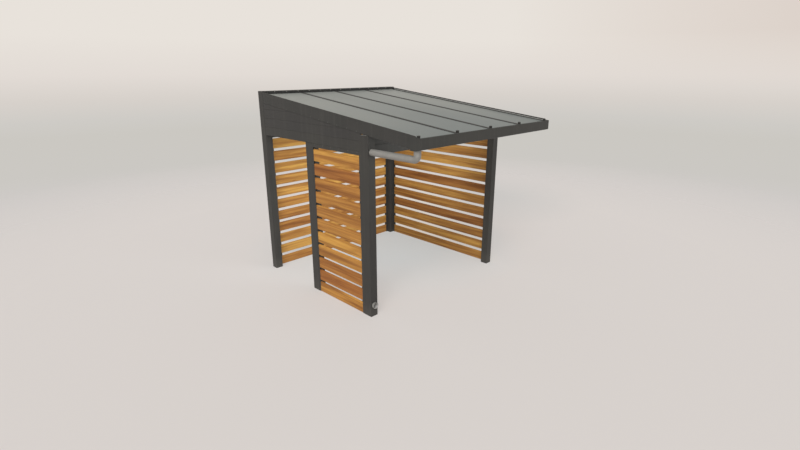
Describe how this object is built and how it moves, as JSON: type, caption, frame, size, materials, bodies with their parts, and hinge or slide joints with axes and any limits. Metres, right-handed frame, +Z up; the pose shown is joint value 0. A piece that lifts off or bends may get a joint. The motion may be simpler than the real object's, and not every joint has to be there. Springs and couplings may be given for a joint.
{
  "type": "lean-to carport",
  "caption": "Lean-to carport with a sloping glass roof on square metal posts, slatted timber side and back walls, a side doorway and a gutter drained through a post.",
  "frame": {"origin": "centre of the footprint's box, on the ground", "axes": "+X to the right as seen from the open front, +Y towards the high back, +Z up"},
  "size_m": [2.6, 3.146, 2.6944],
  "materials": {
    "frame_metal": "fine satin powder coat, anthracite",
    "plank_metal": "fine satin powder coat, anthracite",
    "roof_metal": "fine satin powder coat, anthracite",
    "gutter_metal": "fine satin powder coat, anthracite",
    "larch": "oiled larch, amber with dark streaks",
    "roof_glass": "grey tinted laminated glass",
    "seal_rubber": "matt black rubber",
    "pipe_grey": "mid grey plastic drainpipe"
  },
  "bodies": {
    "root": {"post_back_left": "frame_metal", "post_back_right": "frame_metal", "post_front_left": "frame_metal", "post_front_right": "frame_metal", "post_door": "frame_metal", "header_left": "frame_metal", "header_right": "frame_metal", "header_back": "frame_metal", "rail_left": "frame_metal", "rail_right": "frame_metal", "rail_back": "frame_metal", "front_beam_lower": "frame_metal", "front_beam_upper": "frame_metal", "back_beam": "frame_metal", "planks_left": "plank_metal", "planks_right": "plank_metal", "planks_back": "plank_metal", "channels_left": "frame_metal", "channels_right": "frame_metal", "channels_back": "frame_metal", "slats_left": "larch", "slats_right": "larch", "slats_back": "larch", "rafter_left": "roof_metal", "rafter_2": "roof_metal", "rafter_3": "roof_metal", "rafter_4": "roof_metal", "rafter_right": "roof_metal", "cap_left": "roof_metal", "cap_2": "roof_metal", "cap_3": "roof_metal", "cap_4": "roof_metal", "cap_right": "roof_metal", "clamp_rail": "roof_metal", "glass_stops": "roof_metal", "glass_1": "roof_glass", "glass_2": "roof_glass", "glass_3": "roof_glass", "glass_4": "roof_glass", "wall_seal": "seal_rubber", "gutter": "gutter_metal", "gutter_ends": "gutter_metal", "drainpipe": "pipe_grey", "outlet_stub": "pipe_grey"}
  },
  "joints": []
}
